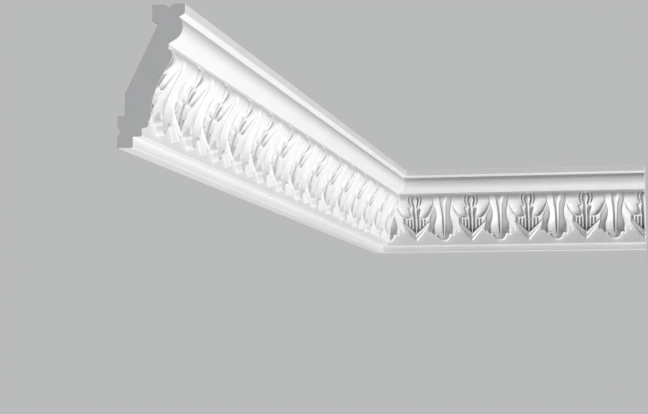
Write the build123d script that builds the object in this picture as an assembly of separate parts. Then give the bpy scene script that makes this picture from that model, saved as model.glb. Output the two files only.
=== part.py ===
"""A carved cornice moulding mitred round the inside corner of a room.

Two lengths of one leaf-and-dart cornice meet at a 45 degree mitre: a long length on the wall x = 0, running
along -Y, and a short length on the wall y = 0, running along +X. The walls meet in the line x = y = 0.
Each length is one casting: a wall foot and a ceiling foot that lie flat, a hollow behind, and a front with
a fascia, a quirk, an ovolo, a band of leaves and darts, and a stepped foot.

Frame: +Z up, origin in the inside corner at the underside of the wall feet. Units are millimetres.
A section is drawn in (out, up): out from the wall, up from the underside. A carving's outline is drawn in
(along, up), with along measured from a dart's centre line or from a leaf's.
"""

from build123d import *
import os

# Overall sizes
HEIGHT = 100.0  # underside of the wall foot to the ceiling
PROJECTION = 47.8  # wall to the face of the top fascia
LONG_LENGTH = 973.0  # corner to the square cut, along the wall
SHORT_LENGTH = 340.0

# Plain mouldings above the carved band, from the top down
TOP_FASCIA = 6.9
QUIRK_OUT = 43.7  # bottom of the quirk, out from the wall
QUIRK_DROP = 9.3  # below the ceiling
OVOLO_OUT = 46.4  # the ovolo's fullest point
OVOLO_DROP = 17.0
BAND_TOP_OUT = 36.1  # face of the fillet under the ovolo
OVOLO_BOTTOM_DROP = 28.2
FILLET_HEIGHT = 3.5
BAND_TOP_UP = HEIGHT - OVOLO_BOTTOM_DROP - FILLET_HEIGHT  # where the carved band starts, up from the underside

# Foot below the carved band, from the bottom up
FOOT_OUT = 11.4
FOOT_HEIGHT = 7.7
PLINTH_OUT = 17.8  # the flat ground that the leaf tips hang over
PLINTH_EDGE = 0.8  # bevel under the flat ground
PLINTH_TOP = 20.0  # up from the underside

# Back: the two feet and the hollow between them
WALL_LAND = 22.5  # height of the wall foot's back
WALL_RECESS = 5.2  # depth of the hollow behind the wall foot's top
HOLLOW_KNEE = 38.0  # where the back starts to slope, up from the underside
CEILING_LAND = 23.8  # width of the ceiling foot
CEILING_RECESS = 13.6  # how far the slope stops below the ceiling
CEILING_LIP = 2.4  # how much higher the ceiling foot's back edge ends than the slope does
CEILING_LIP_RUN = 4.6
GLUE_WIDTH = 6.4  # glue grooves in both feet
GLUE_DEPTH = 2.4
WALL_GLUE_UP = 11.4
CEILING_GLUE_OUT = 36.2

# Carved band: one leaf and one dart to each repeat
REPEAT = 70.6
LONG_FIRST_DART = 55.0  # corner to the first dart's centre line
SHORT_FIRST_DART = 56.6
RELIEF = 6.5  # how far the leaf's lip stands out from the flat ground
CREST_RELIEF = 3.9  # how far the carving stands out at its crest, below the fillet
CREST_UP = BAND_TOP_UP - 6.8
ROOT = 3.0  # how deep each carved piece is rooted in the ground
BAND_STEPS = 6  # facets down the curved part of the band

# Leaf, from its own centre line; levels are shares of the full relief
LEAF_HALF = 18.3
LEAF_RIDGE = 10.0
LEAF_TIP_UP = 13.4
LEAF_SHOULDER_UP = 40.7  # where its flanks start to draw in
LEAF_CENTRE_LEVEL = 0.35
LEAF_EDGE_LEVEL = 0.25

# Petals either side of the dart, from the dart's centre line
PETAL_START = 3.6
PETAL_END = 24.5
PETAL_BOTTOM_UP = BAND_TOP_UP - 27.6
PETAL_LEVEL = 0.85
SCOOP_RADIUS = 11.0
SCOOP_DEPTH = 2.2
SCOOP_IN = 8.2  # scoop's centre, in from the petal's start
SCOOP_ABOVE = 7.4  # and above its lowest point

# Dart: a pin with a ring round its head, in a chevron
PIN_HALF = 1.4
PIN_HEAD_HALF = 2.9
PIN_TOP_UP = BAND_TOP_UP - 1.1
PIN_TIP_UP = 21.0
RING_UP = BAND_TOP_UP - 6.8
RING_RADIUS = 5.6
RING_WIDTH = 2.0
RING_GAP_HALF = 2.6  # half the opening under the ring
RING_CLEARANCE = 1.6  # kept free of petal round the ring
CHEVRON_HALF = 17.0
CHEVRON_TIP_UP = 13.6
CHEVRON_END_UP = 36.0
CHEVRON_BAR = 4.2  # height of each of the two bars, at the centre line
CHEVRON_GAP = 1.0
CHEVRON_LEVEL = 0.72

CLEAR = 5.0  # how far a cutting tool runs past what it cuts


def bezier(points, t):
    """The point at t, 0 to 1, on the cubic curve with these four control points."""
    weights = ((1 - t) ** 3, 3 * t * (1 - t) ** 2, 3 * t**2 * (1 - t), t**3)
    return tuple(sum(w * p[i] for w, p in zip(weights, points)) for i in (0, 1))


def ground_line():
    """The carved band's sunk ground, from the fillet down to the flat: a cyma in short facets."""
    sweep = (
        (BAND_TOP_OUT, BAND_TOP_UP),
        (BAND_TOP_OUT, BAND_TOP_UP - 12.0),
        (PLINTH_OUT, PLINTH_TOP + 22.0),
        (PLINTH_OUT, PLINTH_TOP),
    )
    return [bezier(sweep, i / BAND_STEPS) for i in range(BAND_STEPS + 1)]


def ground_out(up):
    """How far out the sunk ground is at this height."""
    line = ground_line()
    for (out_a, up_a), (out_b, up_b) in zip(line, line[1:]):
        if up >= up_b:
            return out_b + (out_a - out_b) * (up - up_b) / (up_a - up_b)
    return PLINTH_OUT


def full_relief(up):
    """How far the carving at its fullest stands out from the ground at this height."""
    if up > CREST_UP:
        return CREST_RELIEF * (BAND_TOP_UP - up) / (BAND_TOP_UP - CREST_UP)
    share = min(1.0, (CREST_UP - up) / (CREST_UP - PLINTH_TOP))
    return CREST_RELIEF + (RELIEF - CREST_RELIEF) * share


def carved_section(level):
    """The (out, up) outline of the carved band raised to this share of the full relief, rooted in the ground."""
    line = ground_line()
    front = [(out + level * full_relief(up), up) for out, up in line]
    front.append((PLINTH_OUT + level * RELIEF, FOOT_HEIGHT + 2 * PLINTH_EDGE))
    back = [(out - ROOT, up) for out, up in reversed(line)]
    back.insert(0, (PLINTH_OUT - ROOT, FOOT_HEIGHT + 2 * PLINTH_EDGE))
    return front + back


def section_face(points, at):
    """The (out, up) outline as a face across the long wall's direction, at this distance along."""
    return make_face(Polyline(*[(at, -out, up) for out, up in points], close=True))


def carved_bar(stations):
    """A bar of carved band along +X. Each station is (along, level), with straight lines between them."""
    return loft([section_face(carved_section(level), at) for at, level in stations], ruled=True)


def outline_block(points):
    """An (along, up) outline pushed right through the cornice."""
    face = make_face(Polyline(*[(along, CLEAR, up) for along, up in points], close=True))
    return extrude(face, amount=PROJECTION + 2 * CLEAR, dir=(0, -1, 0))


def mirrored(points):
    """The outline with its mirror image joined on across along = 0."""
    return points + [(-along, up) for along, up in reversed(points) if along]


def leaf():
    """A hanging leaf: two ridges with a sunk midrib between, outer lobes that fall away, a toothed edge."""
    edge = [
        (0, LEAF_TIP_UP),
        (3.0, LEAF_TIP_UP + 0.9),
        (5.4, LEAF_TIP_UP + 3.6),
        (6.8, LEAF_TIP_UP + 7.6),
        (8.8, LEAF_TIP_UP + 7.9),
        (11.2, LEAF_TIP_UP + 6.8),
        (12.8, LEAF_TIP_UP + 9.2),
        (13.2, LEAF_TIP_UP + 14.4),
        (14.8, LEAF_TIP_UP + 13.2),
        (17.6, LEAF_TIP_UP + 12.0),
        (LEAF_HALF, LEAF_TIP_UP + 17.0),
        (LEAF_HALF, LEAF_SHOULDER_UP),
        (LEAF_RIDGE, BAND_TOP_UP - 10.0),
        (LEAF_RIDGE - 1.5, BAND_TOP_UP),
        (0, BAND_TOP_UP),
    ]
    half = [(LEAF_RIDGE, 1.0), (LEAF_HALF + 1.0, LEAF_EDGE_LEVEL)]
    stations = [(-at, level) for at, level in reversed(half)] + [(0, LEAF_CENTRE_LEVEL)] + half
    return carved_bar(stations) & outline_block(mirrored(edge))


def petal():
    """The petal on the +along side of a dart: it hangs from the fillet and ends in a scooped, rounded lip."""
    lip = ThreePointArc(
        (PETAL_START, CLEAR, PETAL_BOTTOM_UP + 4.2),
        (PETAL_START + 6.2, CLEAR, PETAL_BOTTOM_UP),
        (PETAL_END - 4.6, CLEAR, PETAL_BOTTOM_UP + 6.2),
    )
    sides = Polyline(
        lip @ 1,
        (PETAL_END, CLEAR, PETAL_BOTTOM_UP + 16.8),
        (REPEAT / 2 - LEAF_RIDGE + 1.5, CLEAR, BAND_TOP_UP),
        (PETAL_START, CLEAR, BAND_TOP_UP),
        lip @ 0,
    )
    blank = extrude(make_face([lip, sides]), amount=PROJECTION + 2 * CLEAR, dir=(0, -1, 0))
    ends = (PETAL_START - CLEAR, PETAL_LEVEL), (REPEAT / 2, PETAL_LEVEL)
    clear_radius = RING_RADIUS + RING_WIDTH / 2 + RING_CLEARANCE
    ring_room = Cylinder(clear_radius, 4 * PROJECTION, rotation=(90, 0, 0)).moved(Location((0, 0, RING_UP)))
    scoop_up = PETAL_BOTTOM_UP + SCOOP_ABOVE
    low, high = (
        Vector(0, -ground_out(up) - PETAL_LEVEL * full_relief(up), up) for up in (scoop_up - 1, scoop_up + 1)
    )
    outward = (high - low).normalized().cross(Vector(1, 0, 0))
    centre = (low + high) / 2 + outward * (SCOOP_RADIUS - SCOOP_DEPTH) + Vector(PETAL_START + SCOOP_IN, 0, 0)
    return (carved_bar(ends) & blank) - ring_room - Pos(*centre) * Sphere(SCOOP_RADIUS)


def pin():
    """The dart's pin, with a pointed head, tapering to its tip."""
    half = [
        (0, PIN_TIP_UP),
        (PIN_HALF, RING_UP - 8.0),
        (PIN_HEAD_HALF, RING_UP - 0.5),
        (PIN_HEAD_HALF, RING_UP + 2.0),
        (0, PIN_TOP_UP),
    ]
    return carved_bar([(-CLEAR, 1.0), (CLEAR, 1.0)]) & outline_block(mirrored(half))


def ring():
    """The open ring round the pin's head."""
    reach = 2 * RING_RADIUS
    tube = Cylinder(RING_RADIUS + RING_WIDTH / 2, 4 * PROJECTION, rotation=(90, 0, 0))
    tube -= Cylinder(RING_RADIUS - RING_WIDTH / 2, 4 * PROJECTION, rotation=(90, 0, 0))
    opening = Box(2 * RING_GAP_HALF, 4 * PROJECTION, reach, align=(Align.CENTER, Align.CENTER, Align.MAX))
    tube = (tube - opening).moved(Location((0, 0, RING_UP)))
    return carved_bar([(-reach, 0.9), (reach, 0.9)]) & tube


def chevron():
    """The two pointed bars round the foot of the dart, tapering to their upper ends."""
    bars = []
    for low in (CHEVRON_TIP_UP, CHEVRON_TIP_UP + CHEVRON_BAR + CHEVRON_GAP):
        rise = (low - CHEVRON_TIP_UP) * 0.3
        half = [
            (0, low),
            (CHEVRON_HALF, CHEVRON_END_UP - 1.6 + rise),
            (CHEVRON_HALF, CHEVRON_END_UP - 0.6 + rise),
            (0, low + CHEVRON_BAR),
        ]
        ends = [(-CHEVRON_HALF - CLEAR, CHEVRON_LEVEL), (CHEVRON_HALF + CLEAR, CHEVRON_LEVEL)]
        bars.append(carved_bar(ends) & outline_block(mirrored(half)))
    return bars


def section():
    """The uncarved section, front and back, as a face across X at x = 0."""

    def at(out, up):
        return (0, -out, up)

    fillet_top = HEIGHT - OVOLO_BOTTOM_DROP
    ovolo = ThreePointArc(
        at(QUIRK_OUT, HEIGHT - QUIRK_DROP),
        at(OVOLO_OUT, HEIGHT - OVOLO_DROP),
        at(OVOLO_OUT - 3.6, HEIGHT - OVOLO_DROP - 7.1),
    )
    ground = [at(*point) for point in ground_line()]
    below = [
        ovolo @ 1,
        at(BAND_TOP_OUT, fillet_top),
        *ground,
        at(PLINTH_OUT, FOOT_HEIGHT + PLINTH_EDGE),
        at(PLINTH_OUT - PLINTH_EDGE, FOOT_HEIGHT),
        at(FOOT_OUT, FOOT_HEIGHT),
        at(FOOT_OUT, 0),
        at(0, 0),
        at(0, WALL_GLUE_UP - GLUE_WIDTH / 2),
        at(GLUE_DEPTH, WALL_GLUE_UP),
        at(0, WALL_GLUE_UP + GLUE_WIDTH / 2),
        at(0, WALL_LAND),
        at(WALL_RECESS, WALL_LAND),
        at(WALL_RECESS, HOLLOW_KNEE),
        at(PROJECTION - CEILING_LAND + CEILING_LIP_RUN, HEIGHT - CEILING_RECESS),
        at(PROJECTION - CEILING_LAND, HEIGHT - CEILING_RECESS + CEILING_LIP),
        at(PROJECTION - CEILING_LAND, HEIGHT),
        at(CEILING_GLUE_OUT - GLUE_WIDTH / 2, HEIGHT),
        at(CEILING_GLUE_OUT, HEIGHT - GLUE_DEPTH),
        at(CEILING_GLUE_OUT + GLUE_WIDTH / 2, HEIGHT),
        at(PROJECTION, HEIGHT),
        at(PROJECTION, HEIGHT - TOP_FASCIA),
        ovolo @ 0,
    ]
    return make_face([ovolo, Polyline(*below)])


def straight_length(length, first_dart):
    """A carved length along +X, square at its far end and mitred at the corner, with the room on -Y."""
    solid = extrude(section(), amount=length, dir=(1, 0, 0))
    dart = [pin(), ring(), *chevron(), petal(), mirror(petal(), Plane.YZ)]
    hanging_leaf = leaf()
    pieces = []
    centre = first_dart - REPEAT
    while centre - REPEAT < length:
        pieces += [piece.moved(Location((centre, 0, 0))) for piece in dart]
        pieces.append(hanging_leaf.moved(Location((centre + REPEAT / 2, 0, 0))))
        centre += REPEAT
    room = PROJECTION + CLEAR
    corners = (0, 0), (room, -room), (length, -room), (length, 0)
    plan = Polyline(*[(x, y, -CLEAR) for x, y in corners], close=True)
    return (solid + pieces) & extrude(make_face(plan), amount=HEIGHT + 2 * CLEAR, dir=(0, 0, 1))


def build():
    """Both lengths where they hang, by name."""
    short = straight_length(SHORT_LENGTH, SHORT_FIRST_DART)
    # mirrored in the mitre's plane, a length along +X becomes one along -Y
    long = mirror(straight_length(LONG_LENGTH, LONG_FIRST_DART), Plane(origin=(0, 0, 0), z_dir=(1, 1, 0)))
    return {"long_length": long, "short_length": short}


os.makedirs("parts", exist_ok=True)
for name, part in build().items():
    part.label = name
    export_step(part, f"parts/{name}.step")
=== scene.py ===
"""The looks of a leaf-and-dart cornice, mitred round an inside corner of a room.

Each length is one closed mesh in place of its CAD solid, with the same section and finer relief. Half of one
repeat, from a dart's centre line to a leaf's, is shaped as heights over a fine grid and thinned out.
Mirrored copies of it in a row make a length, which is cut square at one end and mitred at the other.

Shapes are in millimetres until a length is placed: "out" is from the wall, "up" from the underside and
"along" the run from the corner. In the carving, t is the distance from a leaf's centre line and s from a
dart's, and "full" is the relief at its fullest at that height.
"""

import math

import bmesh
import bpy
import numpy as np
from mathutils import Euler, Matrix, Vector


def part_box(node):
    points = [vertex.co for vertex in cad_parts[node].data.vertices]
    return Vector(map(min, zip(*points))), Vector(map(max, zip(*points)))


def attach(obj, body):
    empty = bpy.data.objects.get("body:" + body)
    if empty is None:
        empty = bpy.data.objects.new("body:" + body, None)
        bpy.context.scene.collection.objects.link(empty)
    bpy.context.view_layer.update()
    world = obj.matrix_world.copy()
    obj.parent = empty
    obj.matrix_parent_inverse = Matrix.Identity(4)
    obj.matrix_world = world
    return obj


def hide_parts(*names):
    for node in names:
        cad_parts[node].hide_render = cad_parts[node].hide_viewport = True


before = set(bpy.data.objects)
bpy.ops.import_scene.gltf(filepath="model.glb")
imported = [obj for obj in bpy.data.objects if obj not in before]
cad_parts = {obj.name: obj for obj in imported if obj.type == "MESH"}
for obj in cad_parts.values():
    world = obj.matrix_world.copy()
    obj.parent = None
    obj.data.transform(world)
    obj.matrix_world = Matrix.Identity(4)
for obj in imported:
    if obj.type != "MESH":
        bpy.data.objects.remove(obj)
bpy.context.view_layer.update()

MM = 0.001

# Overall sizes, from the frame
long_low, long_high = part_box("long_length")
short_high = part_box("short_length")[1]
PROJECTION = long_high[0] / MM
HEIGHT = long_high[2] / MM
LONG_LENGTH = -long_low[1] / MM
SHORT_LENGTH = short_high[0] / MM

# Section, with the sizes of the CAD solids
TOP_FASCIA = 6.9
QUIRK_OUT, QUIRK_DROP = 43.7, 9.3
OVOLO_OUT, OVOLO_DROP = 46.4, 17.0
OVOLO_FOOT_BACK, OVOLO_FOOT_DROP = 3.6, 7.1  # from its furthest point
BAND_TOP_OUT, OVOLO_BOTTOM_DROP = 36.1, 28.2
FILLET_HEIGHT = 3.5
FOOT_OUT, FOOT_HEIGHT = 11.4, 7.7
PLINTH_OUT, PLINTH_EDGE, PLINTH_TOP = 17.8, 0.8, 20.0
WALL_LAND, WALL_RECESS, HOLLOW_KNEE = 22.5, 5.2, 38.0
CEILING_LAND, CEILING_RECESS, CEILING_LIP, CEILING_LIP_RUN = 23.8, 13.6, 2.4, 4.6
GLUE_WIDTH, GLUE_DEPTH, WALL_GLUE_UP, CEILING_GLUE_OUT = 6.4, 2.4, 11.4, 36.2

# Where the carving falls
REPEAT = 70.6
LONG_FIRST_DART = 55.0
SHORT_FIRST_DART = 56.6

# How fine the meshes are
GRID = 0.2  # spacing of the fine grid
BAND_TRIANGLES = 4600  # what the thinning leaves of half a repeat's band
LONGEST_EDGE = 3.0  # longer edges of the band are halved, twice over, for even shading
ARC_STEPS = 3  # facets to a rounded corner of the plain section
OVOLO_STEPS = 22  # facets to the ovolo
SHARP_ANGLE = 28  # degrees between faces, above which an edge is shaded sharp

BAND_TOP_UP = HEIGHT - OVOLO_BOTTOM_DROP
BAND_FOOT_UP = FOOT_HEIGHT + 2 * PLINTH_EDGE


# ---------------------------------------------------------------- curves and distances


def curve(points, at):
    """A smooth line through (at, value) points in rising order: cubic, each slope from its neighbours."""
    x, y = np.array(points, float).T
    slope = np.gradient(y, x)
    at = np.clip(at, x[0], x[-1])
    i = np.clip(np.searchsorted(x, at) - 1, 0, len(x) - 2)
    step = x[i + 1] - x[i]
    t = (at - x[i]) / step
    return (
        (2 * t**3 - 3 * t**2 + 1) * y[i]
        + (t**3 - 2 * t**2 + t) * step * slope[i]
        + (3 * t**2 - 2 * t**3) * y[i + 1]
        + (t**3 - t**2) * step * slope[i + 1]
    )


def ease(low, high, value):
    """0 below low, 1 above high, and a smooth step between. Low may be the larger."""
    t = np.clip((value - low) / (high - low), 0, 1)
    return t * t * (3 - 2 * t)


def smooth_outline(points, steps=5):
    """A closed Catmull-Rom curve through the points."""
    p = np.array(points, float)
    before, after, after2 = np.roll(p, 1, 0), np.roll(p, -1, 0), np.roll(p, -2, 0)
    t = (np.arange(steps) / steps)[None, :, None]
    a, b, c, d = (q[:, None, :] for q in (before, p, after, after2))
    q = 0.5 * (2 * b + (c - a) * t + (2 * a - 5 * b + 4 * c - d) * t**2 + (3 * b - a - 3 * c + d) * t**3)
    return q.reshape(-1, 2)


def depth_inside(outline, x, y):
    """How far each point is inside a closed outline, negative outside."""
    nearest = np.full(x.shape, np.inf)
    inside = np.zeros(x.shape, bool)
    for (ax, ay), (bx, by) in zip(outline, np.roll(outline, -1, 0)):
        dx, dy = bx - ax, by - ay
        t = np.clip(((x - ax) * dx + (y - ay) * dy) / (dx * dx + dy * dy + 1e-12), 0, 1)
        nearest = np.minimum(nearest, np.hypot(x - ax - t * dx, y - ay - t * dy))
        if dy:
            crosses = (ay > y) != (by > y)
            inside ^= crosses & (x < ax + (y - ay) * dx / dy)
    return np.where(inside, nearest, -nearest)


def dome(distance, half):
    """A round top: 1 on the centre line, 0 at half a width from it."""
    return np.sqrt(np.clip(1 - (distance / half) ** 2, 0, 1))


def roll(depth, radius):
    """A rounded edge: 0 on the outline, 1 from this far in."""
    return dome(np.clip(radius - depth, 0, radius), radius)


def mirrored(half):
    """A closed outline from one half of it, whose first point is on the centre line."""
    half = np.array(half)
    return np.vstack([half, (half * (-1, 1))[:0:-1]])


# ---------------------------------------------------------------- carving


CYMA_TOP_PULL, CYMA_FOOT_PULL = 12.0, 22.0  # how far the cyma's control points are from its ends


def ground_out(up):
    """The sunk ground of the carved band: a cyma from the fillet to the flat."""
    t = np.linspace(0, 1, 200)
    start, end = BAND_TOP_UP - FILLET_HEIGHT, PLINTH_TOP
    outs = (BAND_TOP_OUT, BAND_TOP_OUT, PLINTH_OUT, PLINTH_OUT)
    ups = (start, start - CYMA_TOP_PULL, end + CYMA_FOOT_PULL, end)
    weights = (1 - t) ** 3, 3 * t * (1 - t) ** 2, 3 * t**2 * (1 - t), t**3
    out_t, up_t = (sum(w * q for w, q in zip(weights, values)) for values in (outs, ups))
    return np.interp(up, up_t[::-1], out_t[::-1])


# Tables are (up, value) unless they say otherwise, and outlines are (t or s, up). A fade is the pair of places
# where it is 0 and where it is 1. Levels are shares of the full relief, and depths and heights are millimetres.

# How far the carving at its fullest stands out from the ground, by height
FULL_RELIEF = [
    (12, 6.5), (20, 6.5), (28, 6.2), (34, 5.5), (42, 4.6), (48, 3.9), (54, 4.0), (59, 4.5), (63, 4.1),
    (66, 2.9), (69, 1.1), (71.5, 0),
]
WALL_FADE = (-0.15, 0.3)  # the wall round a leaf or petal, by the distance inside its outline

# Leaf: how far out its crest runs, the rib's half-width, the levels of rib and trough, and the toothed edge
CREST = [
    (20, 9.6), (26, 11.2), (30, 11.5), (34, 11.0), (38, 9.9), (42, 9.0), (46, 8.6), (50, 8.9), (55, 10.3),
    (60, 11.6), (66, 12.8), (72, 13.4),
]
RIB_HALF = [(18, 0.7), (30, 0.9), (40, 1.1), (49, 1.6), (57, 2.6), (63, 4.0), (67, 5.1), (71, 6.3)]
RIB_LEVEL = [(16, 0.60), (28, 0.62), (45, 0.68), (57, 0.90), (66, 1.0), (71, 1.0)]
TROUGH_LEVEL = [
    (13, 0.74), (17, 0.66), (21, 0.54), (26, 0.36), (32, 0.22), (40, 0.16), (52, 0.2), (60, 0.42),
    (66, 0.72), (71, 0.9),
]
LEAF_EDGE = [
    (0, 13.1), (2.2, 13.4), (4.5, 14.6), (6.1, 17.0), (7.0, 19.8), (8.3, 21.0), (9.8, 20.4), (11.4, 19.9),
    (12.5, 21.6), (12.9, 25.0), (13.4, 28.2), (14.6, 26.8), (16.2, 24.9), (17.7, 23.9), (18.6, 25.0),
    (18.7, 28.0), (18.2, 32.0), (17.6, 36.0), (17.2, 40.0), (15.6, 46.0), (13.6, 51.0), (12.2, 56.0),
    (12.4, 62.0), (13.0, 80.0),
]

LEAF_ROUND, LEAF_EDGE_LEVEL = 0.55, 0.5  # radius of its edge, and the share of its height right at the edge
FLANK_OUT, FLANK_POWER = 18.3, 0.8  # the flank falls from the crest to this far out
FLANK_FALL, FLANK_FADE = 0.75, (64, 54)

# The curl along the leaf's lower edge: that edge's height and the curl's level, both by t
LEAF_FOOT = [
    (0, 13.1), (2.2, 13.4), (4.5, 14.6), (6.1, 17.3), (7.6, 20.2), (12.3, 20.6), (12.7, 26.8), (18.6, 24.4),
]
LIP_LEVEL = [(0, 0.78), (5.6, 0.80), (7.6, 0.98), (12.4, 1.0), (13.2, 0.8), (16.0, 0.52), (18.4, 0.3)]
LIP_FADE = (7.5, 1.4)  # by the distance above the edge
LIP_ROUND, LIP_EDGE_LEVEL = 0.7, 0.5

# A groove beside the rib and a bead on the crest, in millimetres, each fading out at both ends
GROOVE_OFF, GROOVE_HALF, GROOVE_DEPTH = 0.8, 0.9, 1.3
GROOVE_TOP_FADE, GROOVE_FOOT_FADE = (64, 56), (20, 25)
BEAD_HALF, BEAD_HEIGHT = 0.9, 0.35
BEAD_TOP_FADE, BEAD_FOOT_FADE = (66, 60), (22, 26)

# Petal with its half of the ring, and the crescent sunk between the two
PETAL_EDGE = [
    (-6, 70.6), (0, 69.4), (2.6, 68.4), (4.2, 66.2), (4.8, 63.0), (4.4, 60.0), (3.5, 57.4), (2.8, 55.4),
    (2.7, 53.9), (3.6, 52.9), (5.2, 52.7), (6.3, 52.1), (5.7, 49.6), (4.6, 46.6), (3.7, 44.0), (3.9, 42.0),
    (5.6, 40.6), (9.0, 40.0), (12.0, 40.4), (15.0, 42.0), (17.5, 44.3), (19.9, 47.6), (21.9, 51.4),
    (23.4, 55.2), (25.2, 58.0), (25.0, 62.0), (24.2, 68.0), (23.6, 80.0), (-6, 80.0),
]
PETAL_LEVEL, PETAL_LEAST = 0.9, 0.3  # its height, and in millimetres what the scoop leaves
PETAL_ROUND, PETAL_EDGE_LEVEL, PETAL_EDGE_RISE = 0.7, 0.45, 0.55  # as the leaf's, and the rise from the edge
RIM_IN, RIM_HALF, RIM_HEIGHT, RIM_FADE = 0.9, 1.1, 0.55, (66, 58)
SCOOP_AT, SCOOP_LEAN = (12.2, 50.0), (0.42, 0.907)  # the bowl's middle, and the way it runs up the petal
SCOOP_HALF, SCOOP_DROP, SCOOP_DEPTH = 7.4, 9.0, 3.2
SCOOP_EDGE_FADE, SCOOP_TOP_FADE = (0.6, 1.8), (63, 53)
CRESCENT = [
    (4.4, 71.0), (5.8, 68.4), (6.6, 65.4), (6.8, 62.4), (6.2, 59.4), (5.1, 56.4), (6.6, 57.0), (8.1, 59.2),
    (8.8, 62.4), (8.5, 65.6), (7.3, 68.8), (5.4, 71.0),
]
CRESCENT_DEPTH, CRESCENT_EDGE_FADE, CRESCENT_TOP_FADE = 2.8, (-0.25, 0.75), (70.8, 68.5)

# Dart: the pin's half-width by height, and the reeds between the chevron and the petals
PIN_HALF = [
    (21, 0.05), (24, 0.5), (28, 0.8), (36, 1.1), (44, 1.15), (52, 1.35), (56, 1.6), (58.5, 2.2), (61, 2.9),
    (63.5, 3.0), (65.5, 2.4), (67, 1.3), (68, 0.05),
]
PIN_FOOT, PIN_TOP = 21, 68
PIN_LEVEL, PIN_ROUND = 0.55, 0.42
REED_CENTRES = (4.5, 8.6, 12.5)
REED_HALF, REED_LEVEL = 1.35, 0.72
REED_FOOT_FADE, REED_TOP_FADE = (0.2, 1.2), (42.5, 41.5)  # the first above the chevron, the second by height

# Chevron: the heights of each edge at the centre line and at the end, and its two beads, one above the other,
# as the level of each one's edge and how much higher its middle is
CHEVRON_HALF, CHEVRON_END = 17.2, 2.5
CHEVRON_LOW, CHEVRON_HIGH = (13.4, 34.9), (23.0, 38.3)
LOWER_BEAD, LOWER_BEAD_ROUND = 0.5, 0.24
UPPER_BEAD, UPPER_BEAD_ROUND = 0.7, 0.28
CHEVRON_FALL = 0.58  # share of the height lost from the centre line to the end

# The sunk ground beside the pin, below the ring, wherever the relief is less than a trace
TRACE = 0.02
POCKET_DEPTH, POCKET_SIDE_FADE = 1.0, (5.0, 3.4)
POCKET_FOOT_FADE, POCKET_TOP_FADE = (40.5, 42.5), (53, 51.5)


def leaf_height(t, up, full):
    """Height of the leaf over the ground, t from its centre line."""
    depth = depth_inside(smooth_outline(mirrored(LEAF_EDGE)), t, up)
    rib, crest = curve(RIB_HALF, up), curve(CREST, up)
    trough, rib_level = curve(TROUGH_LEVEL, up), curve(RIB_LEVEL, up)
    into = np.clip((t - rib) / (crest - rib), 0, 1)
    level = trough + (1 - trough) * (0.5 * into + 0.5 * into**2)
    level = np.where(t < rib, trough + (rib_level - trough) * dome(t, rib * 1.02), level)
    past = np.clip((t - crest) / (FLANK_OUT - crest), 0, 1.1)
    level = np.where(t > crest, 1 - FLANK_FALL * past**FLANK_POWER * ease(*FLANK_FADE, up), level)
    level *= LEAF_EDGE_LEVEL + (1 - LEAF_EDGE_LEVEL) * roll(depth, LEAF_ROUND)
    over_edge = up - np.interp(t, *np.array(LEAF_FOOT).T)
    curl = np.interp(t, *np.array(LIP_LEVEL).T)
    lip = curl * ease(*LIP_FADE, over_edge) * (LIP_EDGE_LEVEL + (1 - LIP_EDGE_LEVEL) * roll(depth, LIP_ROUND))
    height = full * np.maximum(level, lip)
    height += BEAD_HEIGHT * dome(t - crest, BEAD_HALF) * ease(*BEAD_TOP_FADE, up) * ease(*BEAD_FOOT_FADE, up)
    groove = dome(t - rib - GROOVE_OFF, GROOVE_HALF) * ease(*GROOVE_TOP_FADE, up) * ease(*GROOVE_FOOT_FADE, up)
    return (height - GROOVE_DEPTH * groove) * ease(*WALL_FADE, depth)


def petal_height(s, up, full):
    """Height of the petal and ring over the ground, s from the dart's centre line."""
    depth = depth_inside(smooth_outline(PETAL_EDGE), s, up)
    rim = RIM_HEIGHT * dome(depth - RIM_IN, RIM_HALF) * ease(*RIM_FADE, up)
    down = np.minimum(SCOOP_LEAN[0] * (s - SCOOP_AT[0]) + SCOOP_LEAN[1] * (up - SCOOP_AT[1]), 0)
    across = SCOOP_LEAN[1] * (s - SCOOP_AT[0]) - SCOOP_LEAN[0] * (up - SCOOP_AT[1])
    bowl = np.clip(1 - (across / SCOOP_HALF) ** 2 - (down / SCOOP_DROP) ** 2, 0, 1)
    scoop = SCOOP_DEPTH * bowl * ease(*SCOOP_EDGE_FADE, depth) * ease(*SCOOP_TOP_FADE, up)
    body = full * PETAL_LEVEL * (PETAL_EDGE_LEVEL + PETAL_EDGE_RISE * roll(depth, PETAL_ROUND))
    height = body + rim - scoop
    sunk = depth_inside(smooth_outline(CRESCENT), s, up)
    height -= CRESCENT_DEPTH * ease(*CRESCENT_EDGE_FADE, sunk) * ease(*CRESCENT_TOP_FADE, up)
    return np.maximum(height, PETAL_LEAST) * ease(*WALL_FADE, depth)


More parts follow.
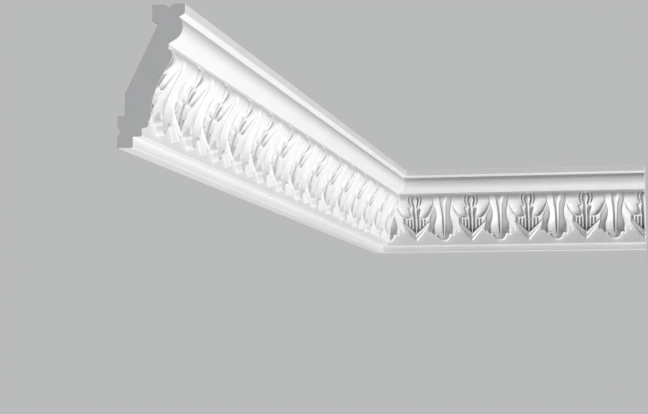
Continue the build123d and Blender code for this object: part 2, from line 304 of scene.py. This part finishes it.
def dart_height(s, up, full):
    """Height of the pin, the reeds and the chevron over the ground."""
    half = curve(PIN_HALF, up)
    inside = (up > PIN_FOOT) & (up < PIN_TOP) & (s < half)
    pin = np.where(inside, full * (PIN_LEVEL + PIN_ROUND * dome(s, half)), 0)
    low, high = (a + (b - a) * s / CHEVRON_HALF for a, b in (CHEVRON_LOW, CHEVRON_HIGH))
    reed_room = ease(*REED_FOOT_FADE, up - high) * ease(*REED_TOP_FADE, up)
    reeds = sum(np.where(np.abs(s - c) < REED_HALF, dome(s - c, REED_HALF), 0) for c in REED_CENTRES)
    across = (up - low) / np.maximum(high - low, 0.1)
    on = (across > 0) & (across < 1) & (s < CHEVRON_HALF)
    lower = LOWER_BEAD + LOWER_BEAD_ROUND * dome(across - 0.25, 0.25)
    upper = UPPER_BEAD * (across > 0.5) + UPPER_BEAD_ROUND * dome(across - 0.75, 0.25)
    fall = (1 - CHEVRON_FALL * s / CHEVRON_HALF) * ease(CHEVRON_HALF, CHEVRON_HALF - CHEVRON_END, s)
    chevron = np.where(on, full * np.maximum(lower, upper) * fall, 0)
    return np.maximum.reduce([pin, full * REED_LEVEL * reeds * reed_room, chevron])


def blur(heights):
    """Takes the grid's stair steps off walls and creases."""
    for axis in (0, 1):
        padded = np.pad(heights, [(1, 1) if a == axis else (0, 0) for a in (0, 1)], mode="edge")
        first, middle, last = (np.take(padded, range(k, k + heights.shape[axis]), axis) for k in (0, 1, 2))
        heights = (first + 2 * middle + last) / 4
    return heights


def carved_band(along, up):
    """How far out the carved band is, on a grid of rows by height and columns from a dart to a leaf."""
    s, u = np.meshgrid(along, up)
    full = curve(FULL_RELIEF, u)
    pocket = POCKET_DEPTH * ease(*POCKET_SIDE_FADE, s) * ease(*POCKET_FOOT_FADE, u) * ease(*POCKET_TOP_FADE, u)
    dart, petal, leaf = dart_height(s, u, full), petal_height(s, u, full), leaf_height(REPEAT / 2 - s, u, full)
    relief = np.maximum.reduce([dart, petal, leaf])
    relief = np.where(relief > TRACE, relief, -pocket)
    return ground_out(u) + blur(relief)


# ---------------------------------------------------------------- section and tile


def rounded(corners):
    """Corner points (out, up, radius) as a line, with an arc at each corner that has a radius."""
    spots = [complex(out, up) for out, up, _ in corners]
    line = [spots[0]]
    for before, here, after, (_, _, radius) in zip(spots, spots[1:], spots[2:], corners[1:]):
        if not radius:
            line.append(here)
            continue
        back, on = (before - here) / abs(before - here), (after - here) / abs(after - here)
        half = abs(np.angle(on / back)) / 2
        centre = here + (back + on) / abs(back + on) * radius / math.sin(half)
        first, last = (here + way * radius / math.tan(half) - centre for way in (back, on))
        line += [centre + first * (last / first) ** (k / ARC_STEPS) for k in range(ARC_STEPS + 1)]
    line.append(spots[-1])
    return [(p.real, p.imag) for p in line]


def arc_through(a, b, c, steps):
    """Points on the arc from a by way of b to c, with both ends."""
    a, b, c = (complex(*p) for p in (a, b, c))
    w = (c - a) / (b - a)
    centre = (b - a) * (w - abs(w) ** 2) / (2j * w.imag) + a
    first = a - centre
    turn = np.angle((c - centre) / first)
    middle = np.angle((b - centre) / first)
    if turn * middle < 0:
        turn += math.copysign(2 * math.pi, middle)
    spokes = first * np.exp(1j * turn * np.linspace(0, 1, steps + 1))
    return [(z.real, z.imag) for z in spokes + centre]


def plain_section():
    """The section from the foot of the carved band round the back and over the ovolo to the band's top."""
    ceiling_back = PROJECTION - CEILING_LAND
    half_glue = GLUE_WIDTH / 2
    corners = [
        (PLINTH_OUT, BAND_FOOT_UP, 0),
        (PLINTH_OUT, FOOT_HEIGHT, PLINTH_EDGE),
        (FOOT_OUT, FOOT_HEIGHT, 0.5),
        (FOOT_OUT, 0, 0.9),
        (0, 0, 0.2),
        (0, WALL_GLUE_UP - half_glue, 0.4),
        (GLUE_DEPTH, WALL_GLUE_UP, 1.2),
        (0, WALL_GLUE_UP + half_glue, 0.4),
        (0, WALL_LAND, 0.3),
        (WALL_RECESS, WALL_LAND, 0.6),
        (WALL_RECESS, HOLLOW_KNEE, 1.0),
        (ceiling_back + CEILING_LIP_RUN, HEIGHT - CEILING_RECESS, 0.8),
        (ceiling_back, HEIGHT - CEILING_RECESS + CEILING_LIP, 0.4),
        (ceiling_back, HEIGHT, 0.3),
        (CEILING_GLUE_OUT - half_glue, HEIGHT, 0.4),
        (CEILING_GLUE_OUT, HEIGHT - GLUE_DEPTH, 1.2),
        (CEILING_GLUE_OUT + half_glue, HEIGHT, 0.4),
        (PROJECTION, HEIGHT, 0.5),
        (PROJECTION, HEIGHT - TOP_FASCIA, 0.5),
        (QUIRK_OUT, HEIGHT - QUIRK_DROP, 0),
    ]
    ovolo_top = (QUIRK_OUT, HEIGHT - QUIRK_DROP)
    ovolo_foot = (OVOLO_OUT - OVOLO_FOOT_BACK, HEIGHT - OVOLO_DROP - OVOLO_FOOT_DROP)
    ovolo = arc_through(ovolo_top, (OVOLO_OUT, HEIGHT - OVOLO_DROP), ovolo_foot, OVOLO_STEPS)
    return rounded(corners) + ovolo[1:]


def band_mesh():
    """The carved band over half a repeat, along from 0 at a dart's centre line, thinned where it is flat."""
    columns = np.linspace(0, REPEAT / 2, round(REPEAT / 2 / GRID) + 1)
    ups = np.linspace(BAND_TOP_UP, BAND_FOOT_UP, round((BAND_TOP_UP - BAND_FOOT_UP) / GRID) + 1)
    points = np.zeros((len(ups), len(columns), 3))
    points[:, :, 0] = columns
    points[:, :, 1] = carved_band(columns, ups)
    points[:, :, 2] = ups[:, None]
    points[0, :, 1], points[-1, :, 1] = BAND_TOP_OUT, PLINTH_OUT
    r, c = np.meshgrid(np.arange(len(ups) - 1), np.arange(len(columns) - 1), indexing="ij")
    here = r * len(columns) + c
    quads = np.stack([here, here + 1, here + len(columns) + 1, here + len(columns)], -1).reshape(-1, 4)
    mesh = bpy.data.meshes.new("band")
    mesh.from_pydata(points.reshape(-1, 3), [], quads)
    piece = bpy.data.objects.new("band", mesh)
    bpy.context.scene.collection.objects.link(piece)
    thin = piece.modifiers.new("thin", "DECIMATE")
    thin.ratio = BAND_TRIANGLES / (2 * len(quads))
    thin.use_collapse_triangulate = True
    thinned = bpy.data.meshes.new_from_object(piece.evaluated_get(bpy.context.evaluated_depsgraph_get()))
    bpy.data.objects.remove(piece)
    bpy.data.meshes.remove(mesh)
    return thinned


def half_tile():
    """Half a repeat as a tube open at both ends: the carved band, and plain strips for the rest."""
    band = band_mesh()
    work = bmesh.new()
    work.from_mesh(band)
    bpy.data.meshes.remove(band)
    for vertex in work.verts:
        for edge in (0, REPEAT / 2):
            if abs(vertex.co.x - edge) < GRID / 3:
                vertex.co.x = edge
    for _ in range(2):
        long_edges = [e for e in work.edges if e.calc_length() > LONGEST_EDGE]
        bmesh.ops.subdivide_edges(work, edges=long_edges, cuts=1)
        bmesh.ops.triangulate(work, faces=work.faces)
    rows = []
    for up in (BAND_FOOT_UP, BAND_TOP_UP):
        row = [v for v in work.verts if v.is_boundary and abs(v.co.z - up) < GRID / 3]
        rows.append(sorted(row, key=lambda v: v.co.x))
    strips = [[work.verts.new((x, out, up)) for x in (0, REPEAT / 2)] for out, up in plain_section()[1:]]
    strips = [rows[0]] + strips + [rows[1]]
    for one, other in zip(strips, strips[1:]):
        work.faces.new(one + other[::-1])
    bmesh.ops.triangulate(work, faces=[f for f in work.faces if len(f.verts) > 4])
    mesh = bpy.data.meshes.new("half_tile")
    work.to_mesh(mesh)
    work.free()
    return mesh


# ---------------------------------------------------------------- lengths

CUT_SLOT = 1  # place of the core among a length's materials


def run_of_tiles(tile, first_dart, length):
    """Mirrored copies of the half tile side by side, enough to cover the length, as one bmesh."""
    work = bmesh.new()
    centre = first_dart - REPEAT
    while centre - REPEAT / 2 < length:
        for side in (-1, 1):
            copy = tile.copy()
            copy.transform(Matrix.Translation((centre, 0, 0)) @ Matrix.Diagonal((side, 1, 1, 1)))
            work.from_mesh(copy)
            bpy.data.meshes.remove(copy)
        centre += REPEAT
    bmesh.ops.remove_doubles(work, verts=work.verts, dist=1e-3)
    return work


def cut(work, at, normal):
    """Cuts away what is beyond the plane and closes the end flat, in the core's material."""
    parts = work.verts[:] + work.edges[:] + work.faces[:]
    made = bmesh.ops.bisect_plane(work, geom=parts, plane_co=at, plane_no=normal, clear_outer=True)
    rim = [e for e in made["geom_cut"] if isinstance(e, bmesh.types.BMEdge)]
    filled = bmesh.ops.triangle_fill(work, edges=rim, use_beauty=True, use_dissolve=False, normal=normal)
    for face in filled["geom"]:
        if isinstance(face, bmesh.types.BMFace):
            face.material_index = CUT_SLOT


def moulding_length(name, tile, first_dart, length, place, materials):
    """One length of cornice, placed by a function from (along, out, up) to the frame's axes."""
    work = run_of_tiles(tile, first_dart, length)
    cut(work, (length, 0, 0), (1, 0, 0))
    cut(work, (0, 0, 0), (-1, 1, 0))
    for vertex in work.verts:
        vertex.co = Vector(place(*vertex.co)) * MM
    bmesh.ops.recalc_face_normals(work, faces=work.faces)
    if work.calc_volume(signed=True) < 0:  # all faces agree, but they may all face inwards
        bmesh.ops.reverse_faces(work, faces=work.faces)
    mesh = bpy.data.meshes.new(name)
    work.to_mesh(mesh)
    work.free()
    for material in materials:
        mesh.materials.append(material)
    mesh.shade_smooth()
    mesh.set_sharp_from_angle(angle=math.radians(SHARP_ANGLE))
    piece = bpy.data.objects.new(name, mesh)
    bpy.context.scene.collection.objects.link(piece)
    even = piece.modifiers.new("even_shading", "WEIGHTED_NORMAL")
    even.keep_sharp = True
    piece.data = bpy.data.meshes.new_from_object(piece.evaluated_get(bpy.context.evaluated_depsgraph_get()))
    piece.modifiers.clear()
    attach(piece, "root")
    return piece


# ---------------------------------------------------------------- materials

GLOSS_SPREAD = 0.05  # either side of a finish's roughness


def grained(name, colour, roughness, patches, grain, relief):
    """A finish with faint patches in colour and gloss, and a fine grain in relief.

    Patches are (scale, share of the colour lost). Both scales are per metre, and relief is in metres.
    """
    material = bpy.data.materials.new(name)
    material.use_nodes = True
    nodes, links = material.node_tree.nodes, material.node_tree.links
    shader = nodes["Principled BSDF"]
    place = nodes.new("ShaderNodeTexCoord")
    broad, fine = nodes.new("ShaderNodeTexNoise"), nodes.new("ShaderNodeTexNoise")
    for noise, scale, detail in ((broad, patches[0], 4), (fine, grain, 2)):
        noise.inputs["Scale"].default_value = scale
        noise.inputs["Detail"].default_value = detail
        links.new(place.outputs["Object"], noise.inputs["Vector"])
    tint = nodes.new("ShaderNodeValToRGB")
    tint.color_ramp.elements[0].position, tint.color_ramp.elements[1].position = 0.3, 0.7
    tint.color_ramp.elements[0].color = (*(c * (1 - patches[1]) for c in colour), 1)
    tint.color_ramp.elements[1].color = (*colour, 1)
    links.new(broad.outputs["Fac"], tint.inputs["Fac"])
    links.new(tint.outputs["Color"], shader.inputs["Base Color"])
    gloss = nodes.new("ShaderNodeMapRange")
    gloss.inputs["To Min"].default_value = roughness - GLOSS_SPREAD
    gloss.inputs["To Max"].default_value = roughness + GLOSS_SPREAD
    links.new(broad.outputs["Fac"], gloss.inputs["Value"])
    links.new(gloss.outputs["Result"], shader.inputs["Roughness"])
    bump = nodes.new("ShaderNodeBump")
    bump.inputs["Distance"].default_value = relief
    links.new(fine.outputs["Fac"], bump.inputs["Height"])
    links.new(bump.outputs["Normal"], shader.inputs["Normal"])
    return material


# ---------------------------------------------------------------- making


tile = half_tile()
paint = grained("white_primer", (0.64, 0.64, 0.64), 0.5, (18, 0.03), 1400, 0.00002)
core = grained("cut_core", (0.88, 0.89, 0.9), 0.85, (60, 0.04), 4500, 0.00002)
long_piece = moulding_length(
    "long_moulding", tile, LONG_FIRST_DART, LONG_LENGTH, lambda a, out, up: (out, -a, up), (paint, core)
)
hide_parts("long_length")
short_piece = moulding_length(
    "short_moulding", tile, SHORT_FIRST_DART, SHORT_LENGTH, lambda a, out, up: (a, -out, up), (paint, core)
)
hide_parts("short_length")

# ---------------------------------------------------------------- camera, light and floor

CAMERA_AT = (0.3779, -2.0183, -0.1563)
CAMERA_TURN, CAMERA_TILT, CAMERA_ROLL = 12.458, 6.005, 0.222  # degrees: left of +Y, upwards, off level
CAMERA_LENS, SENSOR = 89.27, 36.0  # mm
AIM = (0.1, -0.4, 0.05)  # what the lights point at
SKY_TINT = (0.98, 0.99, 1.0, 1)
SKY_LIGHT, SKY_SEEN = 0.12, 0.5  # strength of the background as light, and as the camera sees it
FLOOR_HALF, FLOOR_UP = 9.0, -2.6
FLOOR_GLOW = 0.24  # stands in for studio light on the floor

camera_data = bpy.data.cameras.new("camera")
camera_data.lens = CAMERA_LENS
camera_data.sensor_width = SENSOR
camera_data.clip_end = 50
camera = bpy.data.objects.new("camera", camera_data)
turn = Euler((math.radians(90 + CAMERA_TILT), 0, math.radians(CAMERA_TURN))).to_matrix()
level = Matrix.Rotation(math.radians(CAMERA_ROLL), 3, "Z")
camera.matrix_world = Matrix.Translation(CAMERA_AT) @ (turn @ level).to_4x4()
bpy.context.scene.collection.objects.link(camera)
bpy.context.scene.camera = camera


def soft_light(name, at, size, watts):
    """A round area light, pointed at the object."""
    data = bpy.data.lights.new(name, "AREA")
    data.shape = "DISK"
    data.size = size
    data.energy = watts
    light = bpy.data.objects.new(name, data)
    light.location = at
    light.rotation_euler = (Vector(AIM) - Vector(at)).to_track_quat("-Z", "Y").to_euler()
    bpy.context.scene.collection.objects.link(light)


def pale_sky():
    """A plain background that looks paler than the light it gives."""
    world = bpy.data.worlds.new("world")
    bpy.context.scene.world = world
    world.use_nodes = True
    nodes, links = world.node_tree.nodes, world.node_tree.links
    dim, pale = nodes["Background"], nodes.new("ShaderNodeBackground")
    for background, strength in ((dim, SKY_LIGHT), (pale, SKY_SEEN)):
        background.inputs["Color"].default_value = SKY_TINT
        background.inputs["Strength"].default_value = strength
    either, ray = nodes.new("ShaderNodeMixShader"), nodes.new("ShaderNodeLightPath")
    links.new(ray.outputs["Is Camera Ray"], either.inputs["Fac"])
    links.new(dim.outputs["Background"], either.inputs[1])
    links.new(pale.outputs["Background"], either.inputs[2])
    links.new(either.outputs["Shader"], nodes["World Output"].inputs["Surface"])


def studio_floor():
    """A plain pale floor, well below the object."""
    mesh = bpy.data.meshes.new("floor")
    corners = [(FLOOR_HALF * x, FLOOR_HALF * y, FLOOR_UP) for x, y in ((-1, -1), (1, -1), (1, 1), (-1, 1))]
    mesh.from_pydata(corners, [], [(0, 1, 2, 3)])
    material = grained("pale_floor", (0.78, 0.78, 0.78), 0.85, (3, 0.03), 40, 0.0005)
    shader = material.node_tree.nodes["Principled BSDF"]
    shader.inputs["Emission Color"].default_value = SKY_TINT
    shader.inputs["Emission Strength"].default_value = FLOOR_GLOW
    mesh.materials.append(material)
    piece = bpy.data.objects.new("floor", mesh)
    bpy.context.scene.collection.objects.link(piece)
    return piece


soft_light("key", (2.95, -1.6, -2.2), 0.7, 160)
soft_light("overhead", (0.2, -0.4, 3.2), 1.6, 90)
pale_sky()
bpy.context.scene.view_settings.view_transform = "Standard"
floor = studio_floor()
